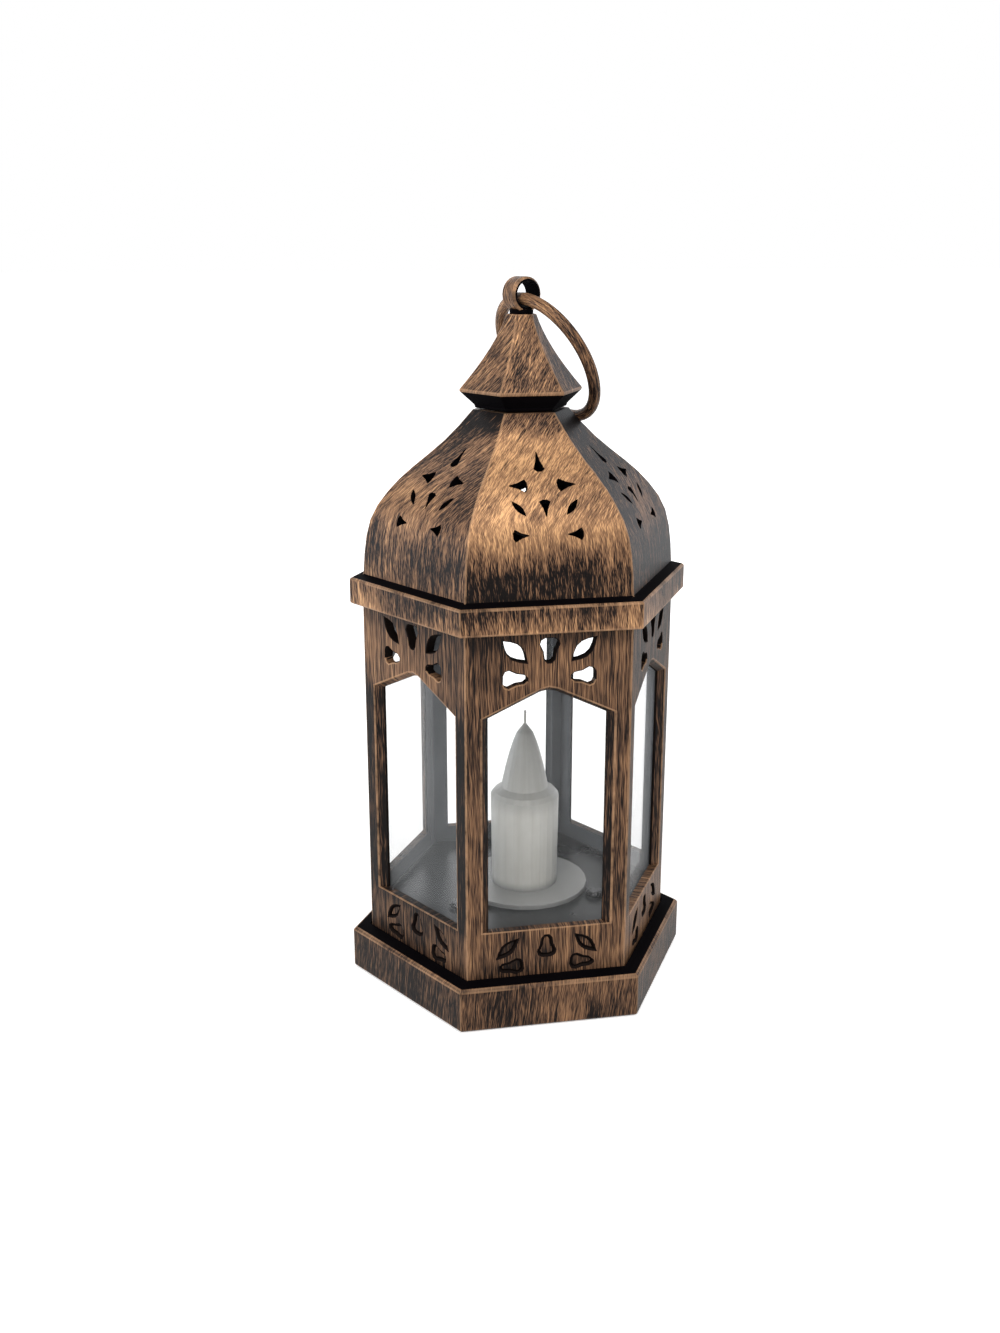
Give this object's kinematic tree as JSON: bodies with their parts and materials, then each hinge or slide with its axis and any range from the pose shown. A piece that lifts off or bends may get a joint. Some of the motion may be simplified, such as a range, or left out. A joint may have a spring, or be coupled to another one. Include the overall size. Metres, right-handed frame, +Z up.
{
  "type": "led lantern",
  "caption": "Hexagonal pierced lantern with a glazed cage, an ogee roof and a hanging ring; a battery candle inside is switched from underneath.",
  "frame": {"origin": "under the middle of the plinth, on the surface it stands on", "axes": "+Z up through the candle and the finial, a corner of the hexagon on +X, the front face towards -Y"},
  "size_m": [0.0692, 0.06, 0.1376],
  "materials": {
    "brushed_bronze": "black moulding dry-brushed with bronze, worn bright on its edges",
    "dark_plastic": "satin slate-grey moulding",
    "clear_pane": "clear sheet",
    "milky_candle": "milky translucent moulding",
    "lamp_epoxy": "warm tinted epoxy",
    "board_laminate": "green laminate",
    "plated_steel": "nickel plated",
    "black_plastic": "moulded"
  },
  "bodies": {
    "lantern": {"plinth": "brushed_bronze", "base_tray": "dark_plastic", "coin_cell": "plated_steel", "circuit_board": "board_laminate", "contact_spring": "plated_steel", "contact_side": "plated_steel", "switch_body": "plated_steel", "inner_floor": "dark_plastic", "floor_screw_1": "plated_steel", "floor_screw_2": "plated_steel", "floor_screw_3": "plated_steel", "board_screw_1": "plated_steel", "board_screw_2": "plated_steel", "finial_screw": "plated_steel", "candle": "milky_candle", "led": "lamp_epoxy", "cage": "brushed_bronze", "window_pane_1": "clear_pane", "window_pane_2": "clear_pane", "window_pane_3": "clear_pane", "window_pane_4": "clear_pane", "window_pane_5": "clear_pane", "window_pane_6": "clear_pane", "roof": "brushed_bronze", "finial": "brushed_bronze", "hanger_eye": "brushed_bronze"},
    "ring": {"hanging_ring": "brushed_bronze"},
    "switch": {"switch_slider": "black_plastic"},
    "door": {"battery_door": "dark_plastic"}
  },
  "joints": [
    {"name": "ring_swing", "type": "hinge", "parent": "lantern", "child": "ring", "pos_m": [0, 0, 0.13366], "axis": [0.4067, -0.9135, 0], "range_deg": [0, 302]},
    {"name": "switch_slide", "type": "slide", "parent": "lantern", "child": "switch", "axis": [1, 0, 0], "range_m": [0, 0.003]},
    {"name": "battery_door_hinge", "type": "hinge", "parent": "lantern", "child": "door", "pos_m": [0, -0.0232, 0.00205], "axis": [-1, 0, 0], "range_deg": [0, 100]}
  ]
}
